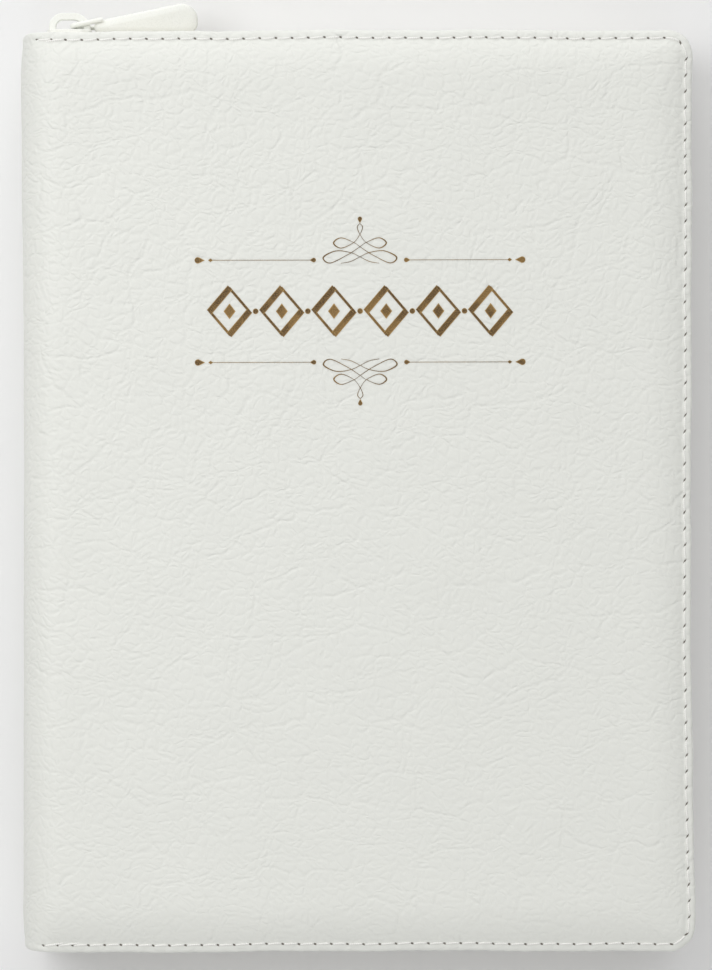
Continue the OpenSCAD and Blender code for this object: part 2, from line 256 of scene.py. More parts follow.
class Shader(Nodes):
    """A principled material, with the patterns that feed it."""

    def __init__(self, name, flat=False, **settings):
        self.dimensions = "2D" if flat else "3D"
        self.material = bpy.data.materials.new(name)
        self.material.use_nodes = True
        super().__init__(self.material.node_tree)
        self.surface = self.tree.nodes["Principled BSDF"]
        for socket, value in settings.items():
            self.surface.inputs[socket.replace("_", " ").title()].default_value = value

    def rest(self):
        return self.node("Attribute", {}, attribute_name="rest").outputs["Vector"]

    def place(self):
        """Object coordinates in mm, for CAD nodes."""
        return self.stretch(self.node("TexCoord", {}).outputs["Object"], (1000, 1000, 1000))

    def stretch(self, vector, by):
        return self.node("VectorMath", {0: vector, 1: by}, operation="MULTIPLY").outputs[0]

    def shift(self, vector, by):
        return self.node("VectorMath", {0: vector, 1: by}, operation="ADD").outputs[0]

    def noise(self, vector, scale, detail=3.0, rough=0.5):
        inputs = {"Vector": vector, "Scale": scale, "Detail": detail, "Roughness": rough}
        return self.node("TexNoise", inputs, noise_dimensions=self.dimensions).outputs["Fac"]

    def warp(self, vector, scale, by):
        """vector moved by up to half of by in each direction."""
        inputs = {"Vector": vector, "Scale": scale, "Detail": 2.0}
        colour = self.node("TexNoise", inputs, noise_dimensions=self.dimensions).outputs["Color"]
        return self.shift(vector, self.stretch(self.shift(colour, (-0.5, -0.5, -0.5)), (by, by, by)))

    def cells(self, vector, scale=1.0):
        """Distance to the nearest edge between cells."""
        settings = {"feature": "DISTANCE_TO_EDGE", "voronoi_dimensions": self.dimensions}
        return self.node("TexVoronoi", {"Vector": vector, "Scale": scale}, **settings).outputs["Distance"]

    def fit(self, value, lo, hi, to_lo=0.0, to_hi=1.0):
        """value from lo..hi, smoothly and clamped, to to_lo..to_hi."""
        inputs = {"Value": value, "From Min": lo, "From Max": hi, "To Min": to_lo, "To Max": to_hi}
        return self.node("MapRange", inputs, interpolation_type="SMOOTHSTEP").outputs["Result"]

    def split(self, vector):
        return self.node("SeparateXYZ", {"Vector": vector}).outputs

    def streaks(self, a, by_a, b, by_b, detail, rough=0.5, layer=0.0):
        """Noise over two values, each stretched."""
        inputs = {"X": self.times(a, by_a), "Y": self.times(b, by_b), "Z": layer}
        return self.noise(self.node("CombineXYZ", inputs).outputs[0], 1.0, detail, rough)

    def wave(self, value, period):
        """A sine of value, from 0 to 1."""
        sine = self.math("SINE", self.times(value, tau / period))
        return self.node("MapRange", {"Value": sine, "From Min": -1.0}).outputs["Result"]

    def mix(self, factor, a, b):
        """Between two colours: outputs, or red, green and blue as the screen shows them."""
        a, b = (rgb(*c) if isinstance(c, tuple) else c for c in (a, b))
        return self.node("Mix", {0: factor, 6: a, 7: b}, data_type="RGBA").outputs[2]

    def feed(self, socket, output):
        self.tree.links.new(output, self.surface.inputs[socket])

    def colour(self, factor, a, b):
        self.feed("Base Color", self.mix(factor, a, b))

    def rough(self, value, lo, hi):
        self.feed("Roughness", self.fit(value, 0.3, 0.7, lo, hi))

    def bump(self, *layers):
        """Relief from layers, each a height and its depth in mm."""
        relief = [self.times(height, depth) for height, depth in layers]
        for more in relief[1:]:
            relief[0] = self.plus(relief[0], more)
        made = self.node("Bump", {"Height": relief[0], "Distance": MM, "Strength": 1.0})
        self.feed("Normal", made.outputs["Normal"])


def rgb(*shown):
    """A colour from 0 to 255 as light."""
    shares = [v / 255 for v in shown]
    return *(v / 12.92 if v <= 0.04045 else ((v + 0.055) / 1.055) ** 2.4 for v in shares), 1.0


def shaded(name, **settings):
    """Turns a function that feeds a shader into the material."""
    def made(feed):
        shader = Shader(name, **settings)
        feed(shader)
        return shader.material

    return made


@shaded("leather_white", flat=True, roughness=0.5)
def leather(s):
    """Natural grain: long curving creases, smaller ones between them, and a net of pebbles."""
    where = s.rest()
    wavy = s.warp(s.warp(where, 0.016, 8.0), 0.09, 4.5)
    rough = s.warp(wavy, 0.45, 1.2)
    height = s.times(s.noise(where, 1.3, 3.0, 0.6), 0.030)
    # Stretch, width and depth of each net of creases, and how patchy it is
    for laid, stretch, width, depth, patch, least in (
        (wavy, (0.070, 0.090), 0.075, 0.078, 0.07, 0.4),
        (wavy, (0.16, 0.20), 0.15, 0.055, 0.12, 0.3),
        (rough, (0.37, 0.46), 0.32, 0.067, 0.3, 0.6),
    ):
        net = s.cells(s.stretch(s.shift(laid, (17.0 * width, 91.0 * width, 0.0)), (*stretch, 0.0)))
        groove = s.minus(s.fit(net, 0.0, width), 1.0)
        patches = s.fit(s.noise(where, patch, 2.0), 0.36, 0.64, least * depth, depth)
        height = s.plus(height, s.times(groove, patches))
    # The hide is a little coarser towards the head
    s.bump((height, s.fit(s.split(where)[1], -HALF_H, HALF_H, 0.85, 1.28)))
    # Painted shade along the seam's groove: the leather's colour darkens towards grey where the seam
    # attribute is high.
    seam = s.node("Attribute", {}, attribute_name="seam").outputs["Fac"]
    tone = s.mix(s.noise(where, 0.05, 4.0), (230, 231, 225), (232, 233, 227))
    s.colour(s.times(seam, 0.12), tone, (150, 147, 138))
    s.rough(s.noise(where, 1.2), 0.46, 0.58)


@shaded("thread_white", roughness=0.55, sheen_weight=0.2)
def thread(s):
    """White waxed thread, with the ridges of its twist."""
    pitch = 0.5
    along, turn, _ = s.split(s.rest())
    ply = s.wave(s.plus(along, s.times(turn, pitch / tau)), pitch)
    s.colour(ply, (236, 235, 230), (248, 248, 244))
    s.bump((ply, 0.03))


# Painted shade: the needle holes are flat dark discs standing in for the shadow inside each pit.
@shaded("needle_hole_shade", roughness=0.9)
def needle_hole_shade(s):
    s.colour(s.noise(s.rest(), 2.0), (88, 83, 76), (126, 120, 111))


@shaded("gold_foil", flat=True, metallic=0.35, roughness=0.45)
def foil(s):
    """Dark gold foil in specks, partly its own tone and partly a painted dark reflection, with painted glints
    and a painted highlight on its raised rim.
    """
    where = s.rest()
    rim = s.split(where)[2]
    speck = s.noise(where, 3.4, 3.0, 0.65)
    # Partly the foil's own dark tone, partly a painted dark reflection, in specks.
    tone_and_dark_reflection = s.mix(s.fit(speck, 0.38, 0.62), (68, 49, 26), (130, 102, 58))
    # Painted glints: broad patches lighter towards gold.
    painted_glint = s.fit(s.noise(where, 0.12, 2.0), 0.45, 0.65, 0.0, 0.35)
    gold = s.mix(painted_glint, tone_and_dark_reflection, (176, 140, 80))
    # Painted highlight: the rim's colour is lighter gold.
    s.colour(s.fit(rim, 0.74, 1.0, 0.0, 0.8), gold, (198, 163, 100))
    s.rough(speck, 0.55, 0.38)
    s.bump((speck, 0.03), (s.noise(where, 0.8), 0.05))


@shaded("zip_tape", roughness=0.8, sheen_weight=0.3)
def tape_cloth(s):
    """Twill that leans one way and the other in turn."""
    pitch, stripe = 0.85, 2.4
    run, up, _ = s.split(s.rest())
    twill = s.wave(s.plus(run, up), pitch)
    back = s.wave(s.minus(run, up), pitch)
    side = s.fit(s.wave(up, stripe), 0.45, 0.55)
    weave = s.plus(s.times(twill, side), s.times(back, s.minus(1.0, side)))
    s.colour(weave, (206, 202, 192), (238, 236, 229))
    s.bump((weave, 0.07))


@shaded("zip_plastic", roughness=0.34)
def plastic(s):
    where = s.rest()
    s.colour(s.noise(where, 0.5, 3.0), (232, 229, 220), (243, 241, 235))
    s.rough(s.noise(where, 4.0), 0.28, 0.42)
    s.bump((s.noise(where, 5.0), 0.012))


def enamel_material(name, where_of):
    """White paint over cast zinc, with a slight orange peel."""
    s = Shader(name, roughness=0.34, coat_weight=0.12, coat_roughness=0.2)
    where = where_of(s)
    s.colour(s.noise(where, 0.3, 4.0), (239, 240, 233), (243, 244, 239))
    s.rough(s.noise(where, 3.0), 0.24, 0.38)
    s.bump((s.noise(where, 1.1, 2.0), 0.035))
    return s.material


LINE = 3.1  # distance between printed lines
COLUMN_W = 66.0
COLUMN_GAP = 6.0
COLUMN_SHIFT = 4.0  # the columns stand this much towards the fore edge
TYPE_Y = 104.0  # half height of the printed area


@shaded("paper_face", roughness=0.78)
def paper(s):
    """Thin paper with two columns of grey strokes, which stand for print and can't be read."""
    where = s.rest()
    x, y, _ = s.split(where)
    from_middle = s.math("ABSOLUTE", s.minus(x, (PAGE_X0 + PAGE_X1) / 2 + COLUMN_SHIFT))
    past_gap = s.math("GREATER_THAN", from_middle, COLUMN_GAP / 2)
    in_width = s.math("LESS_THAN", from_middle, COLUMN_GAP / 2 + COLUMN_W)
    in_height = s.math("LESS_THAN", s.math("ABSOLUTE", y), TYPE_Y)
    in_column = s.times(s.times(past_gap, in_width), in_height)
    row = s.math("FLOOR", s.math("DIVIDE", y, LINE))
    line = s.fit(s.wave(y, LINE), 0.52, 0.66)
    words = s.fit(s.streaks(x, 0.55, row, 7.3, 2.0, 0.7), 0.40, 0.46)
    ink = s.times(in_column, s.times(line, words))
    fibre = s.noise(s.stretch(where, (0.5, 1.4, 1.0)), 1.0, 4.0, 0.6)
    sheet = s.mix(fibre, (243, 236, 219), (250, 245, 232))
    s.colour(s.times(ink, 0.45), sheet, (92, 86, 80))
    s.bump((fibre, 0.02))


@shaded("gilt_edge", metallic=0.8, roughness=0.36)
def gilt(s):
    """Gilded page edges: the leaves show as fine layers."""
    x, y, z = s.split(s.rest())
    run = s.plus(x, y)
    leaves = s.streaks(run, 0.02, z, 5.0, 4.0, 0.7)
    rub = s.streaks(run, 0.08, z, 0.3, 4.0, 0.6, 4.0)
    gold = s.mix(s.fit(leaves, 0.3, 0.7), (172, 132, 62), (222, 184, 108))
    s.colour(s.fit(rub, 0.5, 0.8, 0.0, 0.45), gold, (226, 206, 160))
    s.rough(rub, 0.3, 0.5)
    s.bump((leaves, 0.06))


@shaded("page_folds", roughness=0.8)
def page_folds(s):
    """Backs of the folded sheets: bare paper in fine layers."""
    _, y, z = s.split(s.rest())
    leaves = s.streaks(y, 0.02, z, 5.0, 4.0, 0.7)
    s.colour(s.fit(leaves, 0.3, 0.7), (204, 195, 174), (240, 233, 216))
    s.bump((leaves, 0.06))


@shaded("end_paper", roughness=0.75)
def end_paper(s):
    fibre = s.noise(s.stretch(s.place(), (0.9, 0.35, 1.0)), 1.0, 5.0, 0.65)
    s.colour(fibre, (236, 229, 212), (247, 242, 228))
    s.bump((fibre, 0.03))


@shaded("lining_cream", roughness=0.6)
def lining(s):
    """Grained lining paper inside the covers."""
    grain = s.fit(s.cells(s.warp(s.place(), 0.9, 0.8), 0.75), 0.0, 0.3)
    s.colour(grain, (214, 206, 188), (238, 232, 216))
    s.bump((grain, 0.05))


def woven_material(name, dark, light, pitch, where_of):
    s = Shader(name, roughness=0.85)
    x, y, z = s.split(where_of(s))
    cloth = s.times(s.wave(y, pitch), s.wave(s.plus(x, z), pitch))
    s.colour(cloth, dark, light)
    s.bump((cloth, 0.1))
    return s.material


@shaded("head_band", roughness=0.45, sheen_weight=0.3)
def band(s):
    """Silk worked over a core: gold and white threads in turn."""
    _, _, z = s.split(s.rest())
    s.colour(s.fit(s.wave(z, 1.5), 0.4, 0.6), (184, 140, 62), (240, 236, 226))
    s.bump((s.wave(z, 0.375), 0.08))


def ribbon_material(name, dark, light):
    """Satin: fine ribs across, a soft painted sheen in streaks along, and a darker woven edge."""
    s = Shader(name, roughness=0.36, sheen_weight=0.4, anisotropic=0.5)
    along, across, _ = s.split(s.rest())
    # Painted sheen: lengthwise streaks lighten the colour; the fine ones also give the silk's relief.
    silk = s.streaks(along, 0.04, across, 3.0, 3.0)
    patchy_sheen = s.streaks(along, 0.05, across, 0.3, 4.0, 0.6, 9.0)
    shade = s.times(s.fit(silk, 0.25, 0.75), s.fit(patchy_sheen, 0.3, 0.65, 0.35, 1.0))
    edge = s.fit(s.math("ABSOLUTE", across), RIBBON_W / 2 - 1.0, RIBBON_W / 2 - 0.6, 1.0, 0.35)
    s.colour(s.times(shade, edge), dark, light)
    s.bump((s.wave(along, 0.5), 0.02), (silk, 0.04))
    return s.material


enamel = enamel_material("painted_zinc", Shader.rest)
enamel_cad = enamel_material("painted_zinc_slider", Shader.place)
mull_cloth = woven_material("mull", (196, 186, 164), (232, 224, 206), 1.1, Shader.rest)
spine_cloth = woven_material("spine_cloth", (208, 202, 188), (236, 232, 222), 0.7, Shader.place)
ribbon_red = ribbon_material("ribbon_red", (112, 16, 26), (158, 30, 42))
ribbon_gold = ribbon_material("ribbon_gold", (166, 124, 46), (208, 168, 84))


# The leather: one skin over a cover and half the spine, drawn flat as u and y, then laid over the roll


def roll_section():
    """The spine and its roll, seen from the head: length along it, x, z and the outward direction."""
    curve_steps, upright_steps, even_steps = 400, 40, 240
    a = np.linspace(0, pi / 2, curve_steps)
    x = ROLL_X - (ROLL_X - SPINE_X) * np.cos(a) ** (2 / ROLL_POWER)
    z = ROLL_Z + (BOOK_T - ROLL_Z) * np.sin(a) ** (2 / ROLL_POWER)
    x = joined(np.full(upright_steps, SPINE_X), x)
    z = joined(np.linspace(MID_Z, ROLL_Z, upright_steps, endpoint=False), z)
    length = length_along(x, z)
    even = np.linspace(0, length[-1], even_steps)
    x, z = np.interp(even, length, x), np.interp(even, length, z)
    tx, tz = np.gradient(x, even), np.gradient(z, even)
    size = np.hypot(tx, tz)
    return ROLL_X + even - even[-1], x, z, -tz / size, tx / size


ROLL_U, *ROLL = roll_section()
U_MID = ROLL_U[0]


def lay(u, y, h):
    """Points of the front skin: u and y on the flat, h outward from the level of the padding."""
    flat = u >= ROLL_X
    x, z, nx, nz = (np.where(flat, level, np.interp(u, ROLL_U, rolled))
                    for level, rolled in zip((u, BOOK_T, 0, 1), ROLL))
    drawn_in = SPINE_WAIST * (1 - (y / HALF_H) ** 2) * (1 - nz)
    return stack(x + h * nx + drawn_in, y, z + h * nz)


def on_panel(u):
    """0 on the spine, 1 on the cover."""
    return smooth((u - PANEL_U) / PANEL_FADE)


def corner_at(d):
    """Radius of the corners at inset d: round the lip, then wider again up the padding."""
    turn = CORNER_R / 2
    return CORNER_R - d if d <= turn else turn + CORNER_OPEN * (d - turn)


def ring(d, start, drop=0.0, step=EDGE_STEP):
    """The line at inset d, from u = start along head, fore edge and tail, and its outward direction."""
    r = corner_at(d)
    cx, cy = FORE_X - d - r, HALF_H - d - r
    n_head = int((FORE_X - CORNER_R - start) / step)
    n_fore = int(2 * (HALF_H - CORNER_R) / step)
    head = start + (cx - start) * np.arange(n_head) / n_head
    edge = HALF_H - d - drop * smooth((DROP_U - head) / DROP_FADE)
    arc = np.radians(np.linspace(90, 0, CORNER_STEPS))
    round_u, round_y = cx + r * np.cos(arc), cy + r * np.sin(arc)
    fore = cy * (1 - 2 * np.arange(1, n_fore) / n_fore)
    square = np.full(n_head, pi / 2)
    u = joined(head, round_u, np.full(n_fore - 1, FORE_X - d), round_u[::-1], head[::-1])
    y = joined(edge, round_y, fore, -round_y[::-1], -edge[::-1])
    turn = joined(square, arc, np.zeros(n_fore - 1), -arc[::-1], -square)
    return u, y, np.cos(turn), np.sin(turn)


SEAM = ring(SEAM_D, U_MID, SPINE_DROP)
SEAM_S = length_along(*SEAM[:2])
SEAM_FROM = np.interp(SEAM_U, SEAM[0][:200], SEAM_S[:200])
SEAM_TO = SEAM_S[-1] - SEAM_FROM
N_STITCH = int((SEAM_TO - SEAM_FROM) / STITCH)


def padding(u, d):
    """Height of the lip and of the crowned padding behind it."""
    t = np.clip((d - LIP_W) / (CROWN_D - LIP_W), 0, 1)
    return -CROWN_H * (1 - t) ** CROWN_POWER * (SPINE_CROWN + (1 - SPINE_CROWN) * on_panel(u))


SWELL_H, SWELL_D, SWELL_FADE = 0.13, 4, 14
# Share, lengths along u and y, and phase of each wave of the padding
SWELL_WAVES = ((0.5, 61, 143, 0.6), (0.35, 37, -52, 2.1), (0.25, 83, 29, 4.0))


def swell(u, y, d):
    """Slow unevenness of the foam under the leather."""
    waves = sum(part * np.sin(tau * (u / along + y / up) + phase)
                for part, along, up, phase in SWELL_WAVES)
    return SWELL_H * waves * smooth((d - SWELL_D) / SWELL_FADE)


def hole_wave(s):
    """1 at each needle hole, -1 halfway between two."""
    return np.cos(tau * (s - SEAM_FROM) / STITCH)


def beside_seam(d, width):
    """1 on the seam, falling off within width of it."""
    return np.exp(-(((d - SEAM_D) / width) ** 2))


def seam_dip(s, u, d):
    """The groove that the thread pulls, deepest at the needle holes."""
    hole = (0.5 + 0.5 * hole_wave(s)) ** 3
    groove = GROOVE_H * beside_seam(d, GROOVE_W)
    dip = HOLE_DIP * beside_seam(d, DIP_W) * hole
    return (groove + dip) * sewn(u)


def sewn(u):
    """1 along the seam, 0 where it stops beside the spine."""
    return smooth((u - SEAM_U + SEAM_LEAD) / SEAM_FADE)


WANDER_H, SCALLOP_H = 0.10, 0.05  # the sewn edge's slow waves, and its stitches
# Share, length and phase of each wave of the sewn edge
EDGE_WAVES = ((1.6, 160, 3.6), (1.0, 47, 1.3), (0.6, 19, 0.4))


def edge_wander(s):
    """A sewn edge is never quite straight, and the fore edge has a slight waist."""
    fore, y = np.interp(s, SEAM_S, SEAM[2]), np.interp(s, SEAM_S, SEAM[1])
    wander = sum(part * np.sin(tau * s / along + phase) for part, along, phase in EDGE_WAVES)
    waist = FORE_WAIST * fore * (y / HALF_H) ** 2
    return waist + WANDER_H * wander + SCALLOP_H * hole_wave(s)


# The rim's rows as insets, closest beside the seam
TOP_ROWS = [1.0, 1.2, 1.35, 1.5, 1.65, 1.8, 1.95, 2.1, 2.25, 2.4, 2.7, 3.1, 3.6, 4.3, 5.2, 6.4, 8, 10, 12.2,
            CROWN_D, RIM_D]
# The lip below them: inset, and how far down its thickness
UNDER_ROWS = [(3.4, 1.0), (2.2, 1.0), (1.0, 1.0)]
NOSE_ROWS = [(1 - cos(a), 0.5 - 0.5 * sin(a)) for a in np.radians(np.linspace(-75, 75, 7))]


def skin_rows():
    """Rows from under the lip, round its nose and up the padding: u, y, height and painted seam shade."""
    rows = []
    s = SEAM_S
    for d, part in UNDER_ROWS + NOSE_ROWS + [(d, 0.0) for d in TOP_ROWS]:
        u, y, nu, ny = ring(d, U_MID, SPINE_DROP)
        thick = SPINE_LIP_T + (LIP_T - SPINE_LIP_T) * on_panel(u)
        h = padding(u, d) - part * thick + swell(u, y, d)
        if part == 0.0:
            h = h - seam_dip(s, u, d)
        h = h - (1 - part) * LIP_TILT * smooth((SEAM_D - d) / TILT_W) * on_panel(u)
        reach = smooth((REACH_D - d) / REACH_FADE) * np.where(ny > 0, HEAD_REACH * ny, -TAIL_REACH * ny)
        out = (edge_wander(s) + reach) * smooth((WANDER_D - d) / WANDER_FADE) * on_panel(u)
        # Painted shade along the seam's groove, kept as the seam attribute that darkens the leather's colour.
        dark = beside_seam(d, SHADE_W) * sewn(u) * (part == 0.0)
        rows.append((u + nu * out, y + ny * out, h, dark))
    return rows


def skin():
    """Flat coordinates, heights, painted seam shade and faces of the whole front skin."""
    rows = skin_rows()
    cols = len(rows[0][0])
    u, y, h, dark = (joined(*(row[i] for row in rows)) for i in range(4))
    faces = grid_faces(len(rows), cols, flip=True)
    # The middle is filled with triangles between the last row, the spine and a loose grid
    first = (len(rows) - 1) * cols
    half = PANEL_STEP / 2
    rim = list(zip(u[first:], y[first:]))
    loop = rim + [(U_MID, v) for v in np.arange(rim[-1][1] + PANEL_STEP, rim[0][1] - half, PANEL_STEP)]
    columns = joined(np.arange(U_MID + ROLL_STEP, ROLL_X, ROLL_STEP),
                     np.arange(ROLL_X, FORE_X - RIM_D, PANEL_STEP))
    across = np.arange(-HALF_H + RIM_D + PANEL_STEP, HALF_H - RIM_D - half, PANEL_STEP)
    points = loop + [(a, b) for a in columns for b in across if inside(a, b, RIM_D + half)]
    edges = [(i, (i + 1) % len(loop)) for i in range(len(loop))]
    flat, _, triangles, origin, *_ = delaunay_2d_cdt(points, edges, [list(range(len(loop)))], 1, 1e-4)
    index, new = {}, []
    for i, came in enumerate(origin):
        old = [k for k in came if k < len(rim)]
        if old:
            index[i] = first + old[0]
        else:
            index[i] = len(u) + len(new)
            new.append(tuple(flat[i]))
    faces += [tuple(index[i] for i in t) for t in triangles]
    nu, ny = np.array(new).T
    depth = depth_at(nu, ny)
    h = joined(h, padding(nu, depth) + swell(nu, ny, depth))
    return joined(u, nu), joined(y, ny), h, joined(dark, np.zeros(len(new))), faces


def inside(u, y, d):
    """Whether a flat point is at least d inside the edges and their rounded corners."""
    r = corner_at(d)
    px, py = FORE_X - d - u, HALF_H - d - SPINE_DROP - abs(y)
    return min(px, py) >= 0 and (max(px, py) > r or hypot(r - px, r - py) < r)


def depth_at(u, y):
    """Inset of flat points from the nearest edge."""
    return np.minimum(FORE_X - u, HALF_H - np.abs(y))


skin_u, skin_y, skin_h, skin_seam_shade, skin_faces = skin()
skin_points = lay(skin_u, skin_y, skin_h)
# The bodies that each leather joint lies between, and where its bend starts and ends
FRONT_FOLD = ("spine", "front_cover", (SPINE_X, 0, BOOK_T - HINGE_H), (SPINE_X + HINGE_W, 0, BOOK_T))
BACK_FOLD = ("back_cover", "spine", (SPINE_X + HINGE_W, 0, 0), (SPINE_X, 0, HINGE_H))


def bend(piece, a, b, start, end):
    tuple(v * MM for v in start)
    tuple(v * MM for v in end)
    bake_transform(piece)


for name, points, faces, u, fold, nodes in (
    ("leather_front", skin_points, skin_faces, skin_u, FRONT_FOLD,
     ["front_leather", "front_foam", "front_board", "spine_leather", "spine_strip"]),
    ("leather_back", turned_over(skin_points), [f[::-1] for f in skin_faces], 2 * U_MID - skin_u, BACK_FOLD,
     ["back_leather", "back_foam", "back_board"]),
):
    piece = make_piece(name, points, faces, [leather], stack(u, skin_y, skin_h), seam=skin_seam_shade)
    bend(piece, *fold)
    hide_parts(*nodes)


# Stitching: every thread dives into a needle hole at both ends

THREAD_R = 0.26
THREAD_STEPS = 11
THREAD_LOW, THREAD_RISE = -0.50, 0.44  # height of a thread's ends, and its middle above them
THREAD_FROM, THREAD_SPAN = 0.07, 0.86  # its start in the stitch, and its share of it
SLANT = 0.12  # how far a stitch leans across the seam
HOLE_L, HOLE_W, HOLE_SIDES = 0.96, 0.54, 12
HOLE_LONGER, HOLE_NARROWER = 0.35, 0.1  # on the fore edge
HOLE_LEAN = 0.25  # the needle went in slanting, and twice as much on the fore edge
HOLE_LIFT = 0.035


def seam_at(s, d):
    """Flat place at length s along the seam and inset d, with the outward direction there."""
    u, y, nu, ny = (np.interp(s, SEAM_S, v) for v in SEAM)
    return u + nu * (SEAM_D - d), y + ny * (SEAM_D - d), nu, ny


def stitch_line():
    """The threads and needle holes of the front seam."""
    build = Build()
    q = np.linspace(0, 1, THREAD_STEPS)
    runs = [(SEAM_FROM + i * STITCH, 0.0) for i in range(N_STITCH)]
    # Both ends are fastened by more stitches, a little further in
    runs += [(SEAM_FROM + STITCH * 0.45, 0.42),
             (SEAM_TO - STITCH * 1.9, 0.40), (SEAM_TO - STITCH * 2.9, 0.42)]
    for s0, aside in runs:
        s = s0 + STITCH * (THREAD_FROM + THREAD_SPAN * q)
        d = SEAM_D + aside + SLANT * (1 - 2 * q)
        u, y, nu, ny = seam_at(s, d)
        h = padding(u, d) + THREAD_LOW + THREAD_RISE * np.sin(pi * q) ** 0.4
        out = edge_wander(s)
        path = lay(u + nu * out, y + ny * out, h)
        build.add(*tube(path, stack(nu, ny, 0.0), THREAD_R))
    turn = np.linspace(0, tau, HOLE_SIDES, endpoint=False)
    fan = [(0, k + 1, (k + 1) % HOLE_SIDES + 1) for k in range(HOLE_SIDES)]
    # Each needle hole: a flat dark disc of painted shade, laid just over the dip.
    for i in range(N_STITCH + 1):
        at = SEAM_FROM + i * STITCH
        fore = max(0.0, seam_at(at, SEAM_D)[2])
        length, width = HOLE_L + HOLE_LONGER * fore, HOLE_W - HOLE_NARROWER * fore
        s = at + length / 2 * np.append(0, np.cos(turn))
        d = SEAM_D + width / 2 * np.append(0, np.sin(turn)) + HOLE_LEAN * (1 + fore) * (s - at)
        u, y, nu, ny = seam_at(s, d)
        h = padding(u, d) - seam_dip(s, u, d) + HOLE_LIFT
        out = edge_wander(s)
        build.add(lay(u + nu * out, y + ny * out, h), fan, slot=1)
    return build


seam = stitch_line()
for side, fold in (("front", FRONT_FOLD), ("back", BACK_FOLD)):
    stitching = seam.piece("stitching_" + side, thread, needle_hole_shade)
    bend(stitching, *fold)
    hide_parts(side + "_stitching")
    seam.turn_over()


# Foil stamping: a traditional flourish and rules above and below a plain band of lozenges

STAMP_X, STAMP_Y = 1.1, 48.3  # middle of the stamping
FOIL_LIFT, FOIL_DISH = 0.10, 0.05  # height of its rim, and its middle below that
FOIL_RIM = 0.72  # share of a shape inside its rim


def curve_through(points, steps=14):
    """A smooth line through points, each with its width."""
    p = np.asarray(points, float)
    p = joined([2 * p[0] - p[1]], p, [2 * p[-1] - p[-2]])
    out = []
    for a, b, c, d in zip(p, p[1:], p[2:], p[3:]):
        second, third = 2 * a - 5 * b + 4 * c - d, 3 * b - a - 3 * c + d
        for t in np.arange(steps) / steps:
            out.append(0.5 * (2 * b + (c - a) * t + second * t**2 + third * t**3))
    return np.array(out + [p[-2]])


def stroke(build, line):
    """A foil line: x, y and width at each point, with a raised rim."""
    line = np.asarray(line, float)
    along = np.gradient(line[:, :2], axis=0)
    along /= np.linalg.norm(along, axis=1, keepdims=True) + 1e-9
    across = stack(-along[:, 1], along[:, 0])
    places = np.array([-1, -FOIL_RIM, 0, FOIL_RIM, 1])
    xy = line[:, None, :2] + across[:, None] * (line[:, None, 2:] / 2 * places[None, :, None])
    rim = np.abs(places)[None].repeat(len(line), 0)
    add_foil(build, xy, rim, grid_faces(len(line), len(places), flip=True))


def blot(build, outline):
    """A filled foil shape inside outline, with a raised rim."""
    outline = np.asarray(outline, float)
    middle = outline.mean(0)
    n = len(outline)
    xy = joined(outline, middle + (outline - middle) * FOIL_RIM, [middle])
    rim = joined(np.ones(n), np.full(n, FOIL_RIM), [0.0])
    faces = grid_faces(2, n, close_cols=True) + [(n + k, n + (k + 1) % n, 2 * n) for k in range(n)]
    add_foil(build, xy, rim, faces)


def add_foil(build, xy, rim, faces):
    """Lays a foil shape on the cover; rim is 1 at its edge and 0 in its middle."""
    xy, rim = xy.reshape(-1, 2), np.asarray(rim).reshape(-1)
    x, y = xy[:, 0] + STAMP_X, xy[:, 1] + STAMP_Y
    lift = FOIL_LIFT - FOIL_DISH * (1 - smooth((rim - 0.4) / 0.5))
    area = sum(np.cross(*(xy[f[i]] - xy[f[0]] for i in (1, 2))) for f in faces[:8])
    faces = faces if area > 0 else [f[::-1] for f in faces]
    build.add(lay(x, y, swell(x, y, depth_at(x, y)) + lift), faces, stack(x, y, rim))


THIN, THICK = 0.12, 0.36
# One strand: x, y from the middle of the stamping, and width
STRAND = [
    (0, 23.5, THIN), (0.71, 22.5, 0.19), (0, 20.6, THIN), (-1.67, 18.4, THIN), (-5.08, 16.9, 0.21),
    (-7.07, 18.27, THICK), (-5.08, 19.64, 0.21), (-1.67, 18.4, THIN), (0, 17.25, THIN),
    (1.77, 16.04, 0.16), (3.39, 15.05, 0.16), (8.0, 12.9, 0.23), (9.83, 14.43, THICK),
    (6.39, 16.15, 0.21), (2.36, 15.64, 0.16), (0, 14.54, THIN), (-2.47, 13.33, 0.16), (-5.16, 12.82, 0.10),
]
RULE_Y, RULE_W = 13.7, 0.13
RULE_FROM, RULE_TO = 39.5, 13.2
LOZENGE_PITCH = 14.0
LOZENGE_W, LOZENGE_H, DOT_R = 10.6, 12.4, 0.75


def drop_shape(x, y, r, tail):
    """A teardrop with a round end at x, y and its point at x + tail."""
    turn = np.linspace(0.35 * pi, 1.65 * pi, 22)
    if tail < 0:
        turn = pi - turn
    return [(x + r * cos(a), y + r * sin(a)) for a in turn] + [(x + tail, y)]


def diamond(x, y, w, h):
    return [(x + w / 2, y), (x, y + h / 2), (x - w / 2, y), (x, y - h / 2)]


def lozenge(build, x):
    """A lozenge of thick and thin sides round a small solid diamond."""
    corners = diamond(x, 0, LOZENGE_W, LOZENGE_H)
    for i, width in enumerate((0.7, 1.7, 0.7, 1.7)):
        a, b = np.array(corners[i]), np.array(corners[(i + 1) % 4])
        ends = [a + (b - a) * t for t in np.linspace(-0.03, 1.03, 7)]
        stroke(build, [(*p, width) for p in ends])
    blot(build, diamond(x, 0, 3.2, 4.2))


